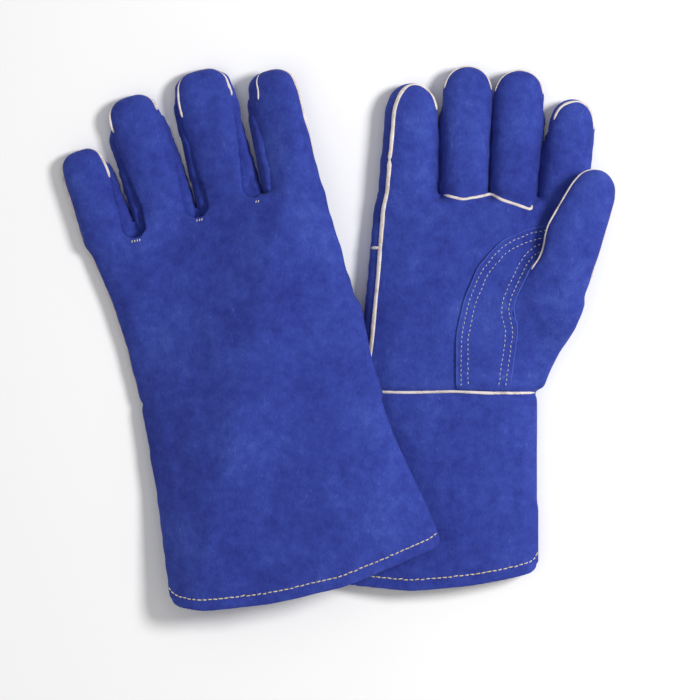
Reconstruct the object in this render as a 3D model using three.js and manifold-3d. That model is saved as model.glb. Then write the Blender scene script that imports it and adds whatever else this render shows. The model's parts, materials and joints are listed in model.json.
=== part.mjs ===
// A pair of leather gauntlet welding gloves lying flat: the right glove palm up, the left glove palm down on its cuff.
// Millimetres, +Z up. The origin is on the floor at the middle of the pair's footprint.
// Each glove is drawn in its own plan frame: x across the hand towards the thumb, y from the cuff to the
// fingertips, z = 0 on the side seams and +z towards the palm. The left glove is that frame mirrored in z.
// Each is built flat, and the left one is then bent over what lies beneath it.

import * as THREE from 'three';
import { mergeVertices } from 'three/addons/utils/BufferGeometryUtils.js';
import Module from 'manifold-3d';

const wasm = await Module();
wasm.setup();

// ---- Driving dimensions ----
const LEATHER = 1.6; // split cowhide
const LINING = 1.6; // cotton fleece hand lining and canvas cuff lining
const GAP = 0.4; // air between neighbouring pieces
const WELT = 1.6; // piping strip sewn between two edges
const SEAM = WELT / 2 + GAP; // half of the slot that a welt sits in
const WELT_PROUD = 1; // how far a welt stands out of the leather
const WELT_DEEP = 1.2; // how far it reaches inside
const STRAP = 1.4; // thumb crotch patch
const THREAD = 0.8; // heavy sewing thread
const HEM_ROW = 8; // from the cuff edge to the hem stitching
const FORK = 4; // half height of the side walls between the fingers
const KNUCKLE = 10.5; // open flex zone each side of a finger joint, on the palm side
const THUMB_KNUCKLE = 7; // the same at the thumb joint
const BACK_SLIT = 0.6; // half width of the slit across the back of a finger joint
const WRIST = 129; // hem line to the wrist seam
const SQUARENESS = 2.4; // superellipse exponent of every cross-section
const FLOOR_CUT = 0.92; // share of a resting side's height that is left after it flattens
const RING = 16; // points round a hand section
const FINGER_RING = 12; // points round a finger section

const BLUE = 0x2f3a9e;
const NATURAL = 0xd9c9b4;
const blueSuede = () => new THREE.MeshStandardMaterial({ color: BLUE, roughness: 0.95, metalness: 0 });
const weltHide = () => new THREE.MeshStandardMaterial({ color: NATURAL, roughness: 0.9, metalness: 0 });
const cotton = () => new THREE.MeshStandardMaterial({ color: 0xe6e2d8, roughness: 1, metalness: 0 });
const thread = () => new THREE.MeshStandardMaterial({ color: 0xe8dfb8, roughness: 0.6, metalness: 0 });

// Hand stations run from the hem to the finger forks: y, left and right edges, back and palm heights, and how much
// higher the palm side stands towards the thumb edge.
const RIGHT = {
  name: 'right',
  resting: 'back',
  hand: [
    { y: -8, left: -90, right: 66, back: 10, palm: 13, lean: 0.7 },
    { y: 30, left: -83, right: 66, back: 10, palm: 13, lean: 0.7 },
    { y: 75, left: -72, right: 65, back: 10, palm: 14, lean: 0.6 },
    { y: WRIST, left: -60, right: 65, back: 10, palm: 16, lean: 0.4 },
    { y: 162, left: -55, right: 79, back: 10, palm: 19, lean: 0.2 },
    { y: 200, left: -51, right: 91, back: 10, palm: 20, lean: 0 },
    { y: 235, left: -48, right: 97, back: 10, palm: 17, lean: 0 },
    { y: 257, left: -46, right: 99, back: 10, palm: 13, lean: 0 },
  ],
  hem: [[-92, 4], [-62, -1], [-20, -5], [20, -1], [52, 5], [68, 10]],
  fingers: {
    little: { base: [-24, 246], tip: [-19, 337], baseWidth: 42, tipWidth: 36, hinge: 298 },
    ring: { base: [15.2, 246], tip: [18, 348.5], baseWidth: 31, tipWidth: 32, hinge: 305 },
    middle: { base: [47.3, 246], tip: [53, 346], baseWidth: 30.5, tipWidth: 32.5, hinge: 304 },
    index: { base: [81, 240], tip: [89.5, 326], baseWidth: 34, tipWidth: 31, hinge: 288 },
  },
  fingerBack: 9.5,
  fingerPalm: 13,
  forks: { little_ring: [-2, 262], ring_middle: [31.3, 262], middle_index: [63.5, 257] },
  baseSeam: [[-2, 265], [14, 261], [31.3, 264], [48, 258], [63.5, 253]],
  thumb: {
    root: [62, 172], hinge: [82, 219], tip: [107, 277], rootWidth: 48, width: 43, tipWidth: 31,
    half: 10, rootZ: 15, z: 24.5,
  },
  thumbLine: [[41, 100], [42, 150], [48, 185], [55, 213], [76, 232], [108, 246]],
  strap: [[9, 133], [9.5, 167], [14, 190], [24, 214], [40, 231], [58, 239], [62, 224], [56, 212], [49.5, 196],
    [47, 170], [42, 133]],
};

// The left glove bends along straight folds over its own folded thumb and the other glove's cuff. Each entry is a
// distance along the fold direction and the height the leather has climbed there.
const FOLD_DIRECTION = [0.915, -0.404];
const FOLDS = [[-130, 0], [-104, 5], [-66, 19], [-30, 20], [0, 25], [33, 29], [200, 29]];

const LEFT = {
  name: 'left',
  resting: 'palm',
  hand: [
    { y: -22, left: -95, right: 99, back: 15, palm: 8, lean: 0 },
    { y: 20, left: -92, right: 91.5, back: 15, palm: 8, lean: 0 },
    { y: 75, left: -88, right: 78, back: 15, palm: 8, lean: 0 },
    { y: WRIST, left: -87, right: 70.5, back: 16, palm: 8, lean: 0 },
    { y: 165, left: -88, right: 69, back: 17, palm: 8, lean: 0 },
    { y: 200, left: -92, right: 69, back: 16, palm: 6.8, lean: 0 },
    { y: 228, left: -98, right: 66, back: 14, palm: 6.7, lean: 0 },
    { y: 250, left: -103, right: 65, back: 12, palm: 6.8, lean: 0 },
  ],
  hem: [[-99, -5], [-72, -15], [-25, -19], [25, -17], [65, -9], [103, -1]],
  fingers: {
    little: { base: [-84, 240], tip: [-93.5, 305], baseWidth: 35, tipWidth: 31, hinge: 275 },
    ring: { base: [-43.5, 240], tip: [-53, 334], baseWidth: 38, tipWidth: 37, hinge: 293 },
    middle: { base: [0.5, 240], tip: [-3, 342], baseWidth: 41, tipWidth: 39, hinge: 298 },
    index: { base: [45, 240], tip: [42.5, 332], baseWidth: 37, tipWidth: 34, hinge: 296 },
  },
  fingerBack: 12,
  fingerPalm: 6.8,
  forks: { little_ring: [-64, 252], ring_middle: [-21.5, 255], middle_index: [23.5, 259] },
  baseSeam: [[-64, 251], [-43, 249], [-21.5, 253], [1, 253], [23.5, 256]],
  thumb: {
    root: [52, 138], hinge: [51.5, 185], tip: [36, 243], rootWidth: 41, width: 37, tipWidth: 30,
    half: 7.3, rootZ: 1, z: 17.5,
  },
  thumbLine: [[22, 100], [22, 150], [27, 172], [29, 190], [38, 206], [58, 214], [90, 218]],
  strap: [[-12, 133], [-12, 165], [-7, 187], [0, 202], [12, 216], [34, 224], [40, 211], [26, 198], [23, 182], [19, 165],
    [19, 133]],
  // How it lies: its frame's place in the right glove's frame, and its turn in plan.
  place: [-92.5, 11.4],
  turn: 11.5,
};

// ---- Solids ----
const FAR = 400; // past the edge of either glove
const TALL = 90; // past its top and bottom
const EXACT = 1e-4; // corners closer than this are one corner
const SHORTEST_EDGE = 5e-3; // the same in a finished piece
const { lerp, degToRad } = THREE.MathUtils;
const join = (solids) => solids.reduce((all, solid) => all.add(solid));
const power = (value, exponent) => Math.sign(value) * Math.abs(value) ** exponent;

// The biggest separate piece of a solid, without the slivers that a cut can leave beside it.
function largest(solid) {
  return solid.decompose().reduce((best, piece) => (piece.volume() > best.volume() ? piece : best));
}

function toSolid(geometry, tolerance = EXACT) {
  const bare = geometry.clone();
  bare.deleteAttribute('normal');
  bare.deleteAttribute('uv');
  const merged = mergeVertices(bare, tolerance);
  return new wasm.Manifold(
    new wasm.Mesh({
      numProp: 3,
      vertProperties: merged.getAttribute('position').array,
      triVerts: new Uint32Array(merged.index.array),
    }),
  );
}

function toGeometry(solid) {
  const mesh = solid.getMesh();
  const geometry = new THREE.BufferGeometry();
  geometry.setAttribute('position', new THREE.BufferAttribute(new Float32Array(mesh.vertProperties), 3));
  geometry.setIndex(new THREE.BufferAttribute(new Uint32Array(mesh.triVerts), 1));
  return geometry;
}

// The same geometry with its palm side and back side exchanged.
function mirror(geometry) {
  const position = geometry.getAttribute('position');
  for (let i = 0; i < position.count; i += 1) position.setZ(i, -position.getZ(i));
  const index = geometry.index.array;
  for (let i = 0; i < index.length; i += 3) [index[i], index[i + 1]] = [index[i + 1], index[i]];
  return geometry;
}

// ---- Bending the left glove ----
const NEAR_FOLD = 0.05; // a corner this close to a fold counts as on it
const foldDistance = (x, y) => FOLD_DIRECTION[0] * x + FOLD_DIRECTION[1] * y;

function climbAt(x, y) {
  const distance = foldDistance(x, y);
  const k = FOLDS.findIndex(([start]) => distance < start);
  if (k === 0) return 0;
  const [[s0, z0], [s1, z1]] = [FOLDS[k - 1], FOLDS[k]];
  return z0 + ((z1 - z0) * (distance - s0)) / (s1 - s0);
}

// Cuts every triangle where it crosses the upright plane at a fold distance, so that it can bend there.
function splitAt(triangles, fold) {
  const beyond = (point) => {
    const excess = foldDistance(point.x, point.y) - fold;
    return Math.abs(excess) < NEAR_FOLD ? 0 : Math.sign(excess);
  };
  const crossing = (p, q) => {
    const [a, b] = beyond(p) < 0 ? [p, q] : [q, p];
    const [da, db] = [a, b].map(({ x, y }) => foldDistance(x, y) - fold);
    return a.clone().lerp(b, da / (da - db));
  };
  return triangles.flatMap((triangle) => {
    const sides = triangle.map(beyond);
    if (!(sides.includes(1) && sides.includes(-1))) return [triangle];
    // Turn the triangle so that its first corner is alone on its side of the plane, or lies on the plane.
    const first = sides.includes(0) ? sides.indexOf(0) : sides.indexOf(-(sides[0] + sides[1] + sides[2]));
    const [a, b, c] = [0, 1, 2].map((k) => triangle[(first + k) % 3]);
    if (sides.includes(0)) {
      const m = crossing(b, c);
      return [[a, b, m], [a, m, c]];
    }
    const [m, n] = [crossing(a, b), crossing(c, a)];
    return [[a, m, n], [m, b, c], [m, c, n]];
  });
}

function bend(geometry) {
  const position = geometry.getAttribute('position');
  const corners = Array.from(geometry.index.array, (i) => new THREE.Vector3().fromBufferAttribute(position, i));
  let triangles = [];
  for (let i = 0; i < corners.length; i += 3) triangles.push(corners.slice(i, i + 3));
  for (const [fold] of FOLDS) triangles = splitAt(triangles, fold);
  const bent = triangles.flat().map(({ x, y, z }) => new THREE.Vector3(x, y, z + climbAt(x, y)));
  return mergeVertices(new THREE.BufferGeometry().setFromPoints(bent), EXACT);
}

// A closed solid through convex rings of points, all running the same way round.
function loft(rings) {
  const count = rings[0].length;
  const last = (rings.length - 1) * count;
  const index = [];
  for (let k = 1; k < count - 1; k += 1) {
    index.push(0, k, k + 1);
    index.push(last, last + k + 1, last + k);
  }
  for (let row = 0; row < last; row += count) {
    for (let k = 0; k < count; k += 1) {
      const a = row + k;
      const b = row + ((k + 1) % count);
      index.push(a, a + count, b);
      index.push(b, a + count, b + count);
    }
  }
  const geometry = new THREE.BufferGeometry().setFromPoints(rings.flat());
  geometry.setIndex(index);
  return toSolid(geometry);
}

// One superellipse ring of `count` points standing across the direction `along` at `centre`. A side that rests on
// something is flat where it would pass its limit.
function ring(count, centre, along, section) {
  const across = new THREE.Vector3(along.y, -along.x, 0);
  const points = [];
  for (let k = 0; k < count; k += 1) {
    const angle = (2 * Math.PI * (k + 0.5)) / count;
    const u = power(Math.cos(angle), 2 / SQUARENESS);
    const v = power(Math.sin(angle), 2 / SQUARENESS);
    const height = v > 0 ? section.palm * (1 + section.lean * u) : section.back;
    const z = THREE.MathUtils.clamp(v * height, -section.backLimit, section.palmLimit);
    points.push(centre.clone().addScaledVector(across, u * section.half).add(new THREE.Vector3(0, 0, z)));
  }
  return points;
}

// The section of a hand or digit grown outwards by `offset`.
function grown(resting, { half, back, palm, lean = 0 }, offset) {
  const limit = (side, height) => (resting === side ? height * FLOOR_CUT : TALL) + offset;
  return {
    half: half + offset,
    back: back + offset,
    palm: palm + offset,
    lean,
    backLimit: limit('back', back),
    palmLimit: limit('palm', palm),
  };
}

// An upright prism over a plan outline.
function prism(outline, low = -TALL, high = TALL) {
  const shape = new THREE.Shape(outline.map(([x, y]) => new THREE.Vector2(x, y)));
  const geometry = new THREE.ExtrudeGeometry(shape, { depth: high - low, bevelEnabled: false });
  geometry.translate(0, 0, low);
  return toSolid(geometry);
}

const band = (y0, y1) => prism([[-FAR, y0], [FAR, y0], [FAR, y1], [-FAR, y1]]);

const slab = (low, high) => prism([[-FAR, -FAR], [FAR, -FAR], [FAR, FAR], [-FAR, FAR]], low, high);

// The plan outline of a strip of half width `half` along a line of points.
function ribbon(line, half) {
  const points = line.map(([x, y]) => new THREE.Vector2(x, y));
  const side = (sign) =>
    points.map((point, i) => {
      const before = points[Math.max(i - 1, 0)];
      const after = points[Math.min(i + 1, points.length - 1)];
      const run = after.clone().sub(before).normalize();
      return [point.x - sign * run.y * half, point.y + sign * run.x * half];
    });
  return [...side(-1), ...side(1).reverse()];
}

// ---- Skins: closed solids at a stated offset outside the leather's outer face ----
function handSkin(glove, offset) {
  const along = new THREE.Vector3(0, 1, 0);
  const lastStation = glove.hand.length - 1;
  return loft(
    glove.hand.map(({ y, left, right, back, palm, lean }, i) => {
      const closing = i === lastStation ? offset : 0;
      const centre = new THREE.Vector3((left + right) / 2, y + closing, 0);
      const section = grown(glove.resting, { half: (right - left) / 2, back, palm, lean }, offset);
      return ring(RING, centre, along, section);
    }),
  );
}

function runOf(from, to) {
  const start = new THREE.Vector3(from[0], from[1], 0);
  const run = new THREE.Vector3(to[0], to[1], 0).sub(start);
  return { start, along: run.clone().normalize(), length: run.length() };
}

// A digit from `from` to a rounded tip, narrowing from its root width to its tip width.
function digitSkin(digit, offset) {
  const { start, along, length } = runOf(digit.from, digit.tip);
  const cap = digit.tipWidth / 2;
  const straight = length - cap;
  const stations = [0, 0.5, 1].map((share) => ({ s: share * straight, shrink: 1 }));
  for (const degrees of [35, 62, 82]) {
    const angle = degToRad(degrees);
    stations.push({ s: straight + (cap + offset) * Math.sin(angle), shrink: Math.cos(angle) });
  }
  return loft(
    stations.map(({ s, shrink }) => {
      const half = lerp(digit.rootWidth, digit.tipWidth, Math.min(s / straight, 1)) / 2;
      const section = grown(digit.resting, { half, back: digit.back, palm: digit.palm }, offset);
      section.half *= shrink;
      for (const key of ['back', 'palm', 'backLimit', 'palmLimit']) section[key] *= Math.sqrt(shrink);
      const centre = start.clone().addScaledVector(along, s);
      centre.z = digit.z;
      return ring(FINGER_RING, centre, along, section);
    }),
  );
}

// The thumb's fixed root, from inside the hand up to its joint.
function thumbRootSkin(glove, offset) {
  const { root, hinge, tip, rootWidth, width, half, rootZ, z } = glove.thumb;
  const { along } = runOf(hinge, tip);
  const end = (place, height, breadth, setBack) => {
    const centre = new THREE.Vector3(place[0], place[1], height).addScaledVector(along, -setBack);
    return ring(FINGER_RING, centre, along, grown('none', { half: breadth / 2, back: half, palm: half }, offset));
  };
  return loft([end(root, rootZ, rootWidth, offset), end(hinge, z, width, 0)]);
}

// Everything beyond (sign 1) or before (sign -1) a distance from a digit's joint, as wide as the digit.
function across(digit, distance, sign) {
  const { start, along } = runOf(digit.hinge, digit.tip);
  const reach = digit.rootWidth / 2 + 3;
  const corner = (s, w) => [start.x + along.x * s + along.y * w, start.y + along.y * s - along.x * w];
  const near = sign > 0 ? distance : -FAR / 2;
  const far = sign > 0 ? FAR / 2 : distance;
  return prism([corner(near, reach), corner(far, reach), corner(far, -reach), corner(near, -reach)]);
}

// ---- One glove ----
function buildGlove(glove) {
  const group = new THREE.Group();

  // Adds a named mesh under a parent, from a solid in the glove's own frame.
  function add(parent, name, solid, material) {
    const flat = toGeometry(largest(toSolid(toGeometry(largest(solid)), SHORTEST_EDGE)));
    const mesh = new THREE.Mesh(glove === LEFT ? bend(mirror(flat)) : flat, material);
    mesh.geometry.computeVertexNormals();
    mesh.name = `${glove.name}_${name}`;
    mesh.position.copy(parent.position).negate();
    parent.add(mesh);
  }

  const fingers = Object.entries(glove.fingers).map(([name, { base, tip, baseWidth, tipWidth, hinge }]) => {
    const { start, along } = runOf(base, tip);
    const joint = start.addScaledVector(along, (hinge - base[1]) / along.y);
    return {
      name, from: base, tip, rootWidth: baseWidth, tipWidth, hinge: [joint.x, joint.y],
      back: glove.fingerBack, palm: glove.fingerPalm, resting: glove.resting, z: 0, open: KNUCKLE,
    };
  });
  const { hinge, tip, width, tipWidth, half, z: thumbZ } = glove.thumb;
  const thumb = {
    name: 'thumb', from: hinge, tip, rootWidth: width, tipWidth, hinge,
    back: half, palm: half, resting: 'none', z: thumbZ, open: THUMB_KNUCKLE,
  };

  const fingerStubs = (offset) => join(fingers.map((f) => digitSkin(f, offset).intersect(across(f, 0, -1))));
  const handAndFingers = (offset) => handSkin(glove, offset).add(fingerStubs(offset));
  const everything = (offset) => handAndFingers(offset).add(thumbRootSkin(glove, offset));
  const handSheet = (outer, inner) => handSkin(glove, outer).subtract(handSkin(glove, inner));
  const palmHalf = slab(SEAM, TALL);
  const backHalf = slab(-TALL, -SEAM);
  const abovePalmSeam = slab(0, TALL);

  // The hem follows a shallow curve across the cuff.
  const [hemStart] = glove.hem;
  const hemEnd = glove.hem[glove.hem.length - 1];
  const hemLine = [[-FAR, hemStart[1]], ...glove.hem, [FAR, hemEnd[1]]];
  const hemStrip = (from, to) => {
    const lower = hemLine.map(([x, y]) => [x, y + from]);
    const upper = hemLine.map(([x, y]) => [x, y + to]).reverse();
    return prism([...lower, ...upper]);
  };
  const pastHem = (distance) => hemStrip(distance, FAR);

  const backSlits = join(fingers.map((f) => across(f, -BACK_SLIT, 1)));
  const palmSlits = join(fingers.map((f) => across(f, -KNUCKLE, 1))).intersect(abovePalmSeam);
  const inside = everything(-LEATHER);
  const leather = handAndFingers(0).subtract(inside).intersect(pastHem(0)).subtract(backSlits).subtract(palmSlits);

  // Side walls between the fingers: blocks round each fork, set at the seam surface.
  const forkBlock = ([x, y], grow) => {
    const [left, right, foot, head] = [x - 9 - grow, x + 9 + grow, y - 9 - grow, y + 60];
    return prism([[left, foot], [right, foot], [right, head], [left, head]], -FORK - grow, FORK + grow);
  };
  const forkCuts = join(Object.values(glove.forks).map((fork) => forkBlock(fork, GAP)));
  const panels = leather.subtract(forkCuts);
  const palmSide = panels.intersect(palmHalf);

  // Plan regions of the palm side.
  const wristSlot = band(WRIST - SEAM, WRIST + SEAM);
  const cuffRegion = band(-FAR, WRIST - SEAM);
  const [first] = glove.baseSeam;
  const last = glove.baseSeam[glove.baseSeam.length - 1];
  const frontsRegion = prism([...glove.baseSeam, [last[0] + 14, FAR], [first[0] - 4, FAR]]);
  const baseSlot = prism(ribbon(glove.baseSeam, SEAM));
  const thumbRegion = prism([...glove.thumbLine, [FAR, 250], [FAR, 60]]);
  const thumbSlot = prism(ribbon(glove.thumbLine, GAP));
  const divide = glove.forks.ring_middle[0];
  const ringSide = prism([[-FAR, 0], [divide - GAP, 0], [divide - GAP, FAR], [-FAR, FAR]]);
  const middleSide = prism([[divide + GAP, 0], [FAR, 0], [FAR, FAR], [divide + GAP, FAR]]);

  const fronts = palmSide.intersect(frontsRegion).subtract(baseSlot);
  const hand = palmSide.subtract(cuffRegion).subtract(wristSlot).subtract(frontsRegion).subtract(baseSlot);

  // The wing thumb is its region of the palm side with the fixed root of its tube standing on it.
  const tubeMouth = across(thumb, -THUMB_KNUCKLE, 1).intersect(slab(thumbZ, TALL))
    .add(across(thumb, -BACK_SLIT, 1)).subtract(handAndFingers(GAP));
  const besideWing = handAndFingers(GAP).subtract(thumbRegion.subtract(thumbSlot));
  const wing = everything(0).subtract(inside).intersect(palmHalf).subtract(besideWing).subtract(tubeMouth)
    .subtract(forkCuts);

  add(group, 'back_panel', panels.intersect(backHalf), blueSuede());
  add(group, 'palm_panel', hand.subtract(thumbRegion).subtract(thumbSlot), blueSuede());
  add(group, 'cuff_panel', palmSide.intersect(cuffRegion), blueSuede());
  add(group, 'thumb_base', wing.subtract(cuffRegion).subtract(wristSlot), blueSuede());
  add(group, 'ring_front', fronts.intersect(ringSide), blueSuede());
  add(group, 'middle_front', fronts.intersect(middleSide), blueSuede());
  for (const [name, fork] of Object.entries(glove.forks)) {
    add(group, `${name}_fork`, leather.intersect(forkBlock(fork, 0)), blueSuede());
  }
  const patch = handSheet(GAP + STRAP, GAP).intersect(prism(glove.strap)).intersect(palmHalf);
  add(group, 'thumb_strap', patch.subtract(thumbRootSkin(glove, GAP)), blueSuede());

  // Welts fill the seam slots and stand a little proud of the leather.
  const inWelt = (skin) => skin(WELT_PROUD).subtract(skin(-WELT_DEEP));
  const seamWelt = slab(-WELT / 2, WELT / 2);
  const littleEdge = (glove.fingers.little.base[0] + glove.hand[3].left) / 2;
  const outerSide = prism([[-FAR, 12], [littleEdge, 12], [littleEdge, FAR], [-FAR, FAR]]);
  const handWelt = inWelt(handAndFingers).subtract(forkCuts).subtract(backSlits);
  const wristBand = band(WRIST - WELT / 2, WRIST + WELT / 2);
  const clearOfSeam = slab(SEAM + WELT, TALL);
  const clearOfForks = slab(FORK + WELT, glove === LEFT ? glove.fingerPalm * FLOOR_CUT : TALL);
  add(group, 'side_welt', handWelt.intersect(seamWelt).intersect(outerSide), weltHide());
  add(group, 'wrist_welt', inWelt((offset) => handSkin(glove, offset)).intersect(wristBand).intersect(clearOfSeam),
    weltHide());
  add(group, 'finger_base_welt', inWelt(handAndFingers).intersect(prism(ribbon(glove.baseSeam, WELT / 2)))
    .intersect(clearOfForks), weltHide());

  const liningFace = -LEATHER - GAP;
  const sleeve = handSheet(liningFace, liningFace - LINING).intersect(band(-FAR, glove.hand[6].y));
  add(group, 'lining', sleeve.intersect(pastHem(2)), cotton());
  const hemRow = handSheet(GAP + THREAD, GAP).intersect(hemStrip(HEM_ROW, HEM_ROW + THREAD));
  const offFloor = slab(-glove.hand[0].back * FLOOR_CUT, TALL);
  add(group, 'hem_thread', glove === LEFT ? hemRow : hemRow.intersect(offFloor), thread());

  for (const digit of [...fingers, thumb]) addMovingEnd(digit);

  // The part of a digit beyond its joint, in a group whose origin is on the joint's axis.
  function addMovingEnd(digit) {
    const pivot = new THREE.Group();
    pivot.name = `${glove.name}_${digit.name}_pivot`;
    const [x, y] = digit.hinge;
    pivot.position.set(x, y, glove === LEFT ? climbAt(x, y) - digit.z : digit.z);
    pivot.userData.along = runOf(digit.hinge, digit.tip).along.toArray();
    group.add(pivot);
    const wall = digitSkin(digit, 0).subtract(digitSkin(digit, -LEATHER));
    const rim = digitSkin(digit, WELT_PROUD).subtract(digitSkin(digit, -WELT_DEEP));
    const beyond = (distance) => across(digit, distance, 1);
    const level = (low, high) => slab(digit.z + low, digit.z + high);
    add(pivot, `${digit.name}_tip_back`, wall.intersect(level(-TALL, -SEAM)).intersect(beyond(BACK_SLIT)),
      blueSuede());
    add(pivot, `${digit.name}_tip_front`, wall.intersect(level(SEAM, TALL)).intersect(beyond(digit.open)),
      blueSuede());
    add(pivot, `${digit.name}_tip_welt`, rim.intersect(level(-WELT / 2, WELT / 2)).intersect(beyond(2)),
      weltHide());
  }
  return group;
}

const rightGlove = buildGlove(RIGHT);
rightGlove.position.z = RIGHT.hand[0].back * FLOOR_CUT;

const leftGlove = buildGlove(LEFT);
leftGlove.rotation.z = degToRad(LEFT.turn);
leftGlove.position.set(LEFT.place[0], LEFT.place[1], LEFT.fingerPalm * FLOOR_CUT);

const pair = new THREE.Group();
pair.add(rightGlove, leftGlove);
const footprintMiddle = new THREE.Box3().setFromObject(pair, true).getCenter(new THREE.Vector3());
pair.position.set(-footprintMiddle.x, -footprintMiddle.y, 0);

export default pair;
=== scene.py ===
import json
import math

import bpy
import numpy as np
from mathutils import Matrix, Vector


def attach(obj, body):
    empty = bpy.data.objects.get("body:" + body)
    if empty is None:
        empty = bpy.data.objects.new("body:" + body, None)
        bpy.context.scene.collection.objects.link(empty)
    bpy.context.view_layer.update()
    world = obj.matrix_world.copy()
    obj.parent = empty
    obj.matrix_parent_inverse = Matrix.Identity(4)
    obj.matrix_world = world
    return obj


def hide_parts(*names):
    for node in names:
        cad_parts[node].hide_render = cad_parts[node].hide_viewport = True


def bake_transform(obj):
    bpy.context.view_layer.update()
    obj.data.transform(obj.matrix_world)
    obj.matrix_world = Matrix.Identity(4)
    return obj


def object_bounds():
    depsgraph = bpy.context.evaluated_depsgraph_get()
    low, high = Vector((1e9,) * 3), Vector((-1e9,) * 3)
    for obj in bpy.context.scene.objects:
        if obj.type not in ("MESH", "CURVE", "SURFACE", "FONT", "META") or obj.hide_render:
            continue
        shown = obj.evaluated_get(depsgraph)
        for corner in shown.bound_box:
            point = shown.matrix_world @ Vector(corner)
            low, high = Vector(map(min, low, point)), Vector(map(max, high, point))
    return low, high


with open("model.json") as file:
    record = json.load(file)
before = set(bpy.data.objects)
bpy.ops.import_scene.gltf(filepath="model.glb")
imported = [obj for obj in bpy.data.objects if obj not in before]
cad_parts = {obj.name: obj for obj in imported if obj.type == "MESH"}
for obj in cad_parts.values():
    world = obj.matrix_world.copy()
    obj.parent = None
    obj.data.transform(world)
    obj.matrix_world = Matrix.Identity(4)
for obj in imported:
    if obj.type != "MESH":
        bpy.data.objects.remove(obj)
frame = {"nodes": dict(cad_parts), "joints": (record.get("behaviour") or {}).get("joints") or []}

import openvdb
from mathutils import Vector
from mathutils.bvhtree import BVHTree
from mathutils.kdtree import KDTree

# Two welding gloves. Each glove's skin is grown from its CAD panels: their upper and lower surfaces
# are read over a plan grid, filled, rounded off, meshed in one sheet, and parted again along the
# seams. Lengths are in millimetres until a mesh is made.

CAD_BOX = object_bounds()
bpy.context.scene.view_settings.view_transform = "Standard"

CELL = 1.0  # size of a grid cell
PAD = np.array([14.0, 14.0, 8.0])  # empty space kept round each glove
HAND_SOFTNESS = 2.2
DIGIT_SOFTNESS = 2.5
SWELL = 0.42  # level at which the softened solid is skinned
JOINT_GAP = 12.0  # half the length of leather parted at a finger joint
THUMB_GAP = 8.5
JOINT_BEND = 14.0  # half the length about a finger's joint; its own pieces begin this far before the joint
THUMB_BEND = 10.0
ROUND_TIP = 2.0  # exponent of a fingertip's outline
SQUARE_TIP = 2.6
WIDER = {"right_ring": 0.09, "right_middle": 0.08, "left_middle": 0.09}  # padding near a finger's end
HEM_CORNER = (7.0, 6.0)  # how far the hem's rounded corners reach in and up
MOUTH = 80.0  # how deep the cuff is open
WAIST = 6.0  # how far the thumb's inner side is drawn in
SEAM_SHARE = 0.34  # height of the side seams as a share of the thickness
SLOT_DEPTH = {"left": (10.0, 5.0, 2.5), "right": (3.0, 3.0, 3.0)}  # gaps' bottoms below the forks
SLOT_RADIUS = 5.8
OUTER_LIFT = 7.5  # how far above its seam the left index finger's outer welt lies
FLOOR_GAP = 0.0002  # metres that the lowest leather keeps above the floor
FINGERS = ("little", "ring", "middle", "index")
DIGITS = FINGERS + ("thumb",)
FORKS = ("little_ring_fork", "ring_middle_fork", "middle_index_fork")
HAND_PANELS = ("back_panel", "palm_panel", "cuff_panel", "thumb_base", "ring_front", "middle_front")
JOINTS = {joint["child"]: joint for joint in frame["joints"]}


# ---- Reading the frame, grids and paths ----

def vertices(node):
    """A CAD node's vertices in millimetres."""
    mesh = frame["nodes"][node].data
    flat = np.empty(3 * len(mesh.vertices))
    mesh.vertices.foreach_get("co", flat)
    return flat.reshape(-1, 3) * 1000


def triangles(node):
    """A CAD node's triangles, three corners each, in millimetres."""
    mesh = frame["nodes"][node].data
    mesh.calc_loop_triangles()
    index = np.empty(3 * len(mesh.loop_triangles), np.int32)
    mesh.loop_triangles.foreach_get("vertices", index)
    return vertices(node)[index.reshape(-1, 3)]


def blur(field, sigma, axes=(0, 1, 2)):
    """A Gaussian blur of a grid, sigma in millimetres."""
    reach = int(math.ceil(2.6 * sigma / CELL))
    weights = np.exp(-0.5 * (np.arange(-reach, reach + 1) * CELL / sigma) ** 2)
    weights /= weights.sum()
    for axis in axes:
        pad = [(0, 0)] * field.ndim
        pad[axis] = (reach, reach)
        padded = np.pad(field, pad, mode="edge" if field.ndim == 1 else "constant")
        out = np.zeros_like(field)
        for i, weight in enumerate(weights):
            part = [slice(None)] * field.ndim
            part[axis] = slice(i, i + field.shape[axis])
            out += weight * padded[tuple(part)]
        field = out
    return field


def plan_blur(mask, sigma):
    """A plan mask's blurred edge."""
    return blur(mask.astype(float), sigma, (0, 1))


def spread(surface, sigma):
    """A height map blurred over the cells that hold a height, and how many of those are near each cell."""
    known = np.isfinite(surface)
    share = plan_blur(known, sigma)
    mean = blur(np.where(known, surface, 0.0), sigma, (0, 1)) / np.maximum(share, 1e-6)
    return mean, share


def distance(cells, spots):
    """Each cell's distance to the nearest of some spots."""
    best = np.full(len(cells), np.inf)
    for k in range(0, len(spots), 400):
        gap = cells[:, None] - spots[None, k:k + 400]
        best = np.minimum(best, np.sqrt((gap ** 2).sum(axis=2)).min(axis=1))
    return best


def eased_step(x):
    """From 0 to 1 as x does, with a soft start and end."""
    x = np.clip(x, 0, 1)
    return x * x * (3 - 2 * x)


def noise(points, size, seed):
    """Smooth noise from -1 to 1 at points, with bumps of about the given size in millimetres."""
    table = np.random.default_rng(seed).uniform(-1, 1, (32, 32, 32))
    at = points / size
    cell = np.floor(at).astype(int)
    part = at - cell
    part = part * part * (3 - 2 * part)
    total = np.zeros(len(points))
    for corner in range(8):
        step = np.array([corner & 1, corner >> 1 & 1, corner >> 2 & 1])
        i, j, k = ((cell + step) % 32).T
        total += table[i, j, k] * np.prod(np.where(step, part, 1 - part), axis=1)
    return total


def plan_noise(points, size, seed):
    """The same noise over plan points."""
    return noise(np.hstack([points, np.zeros((len(points), 1))]), size, seed)


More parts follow.
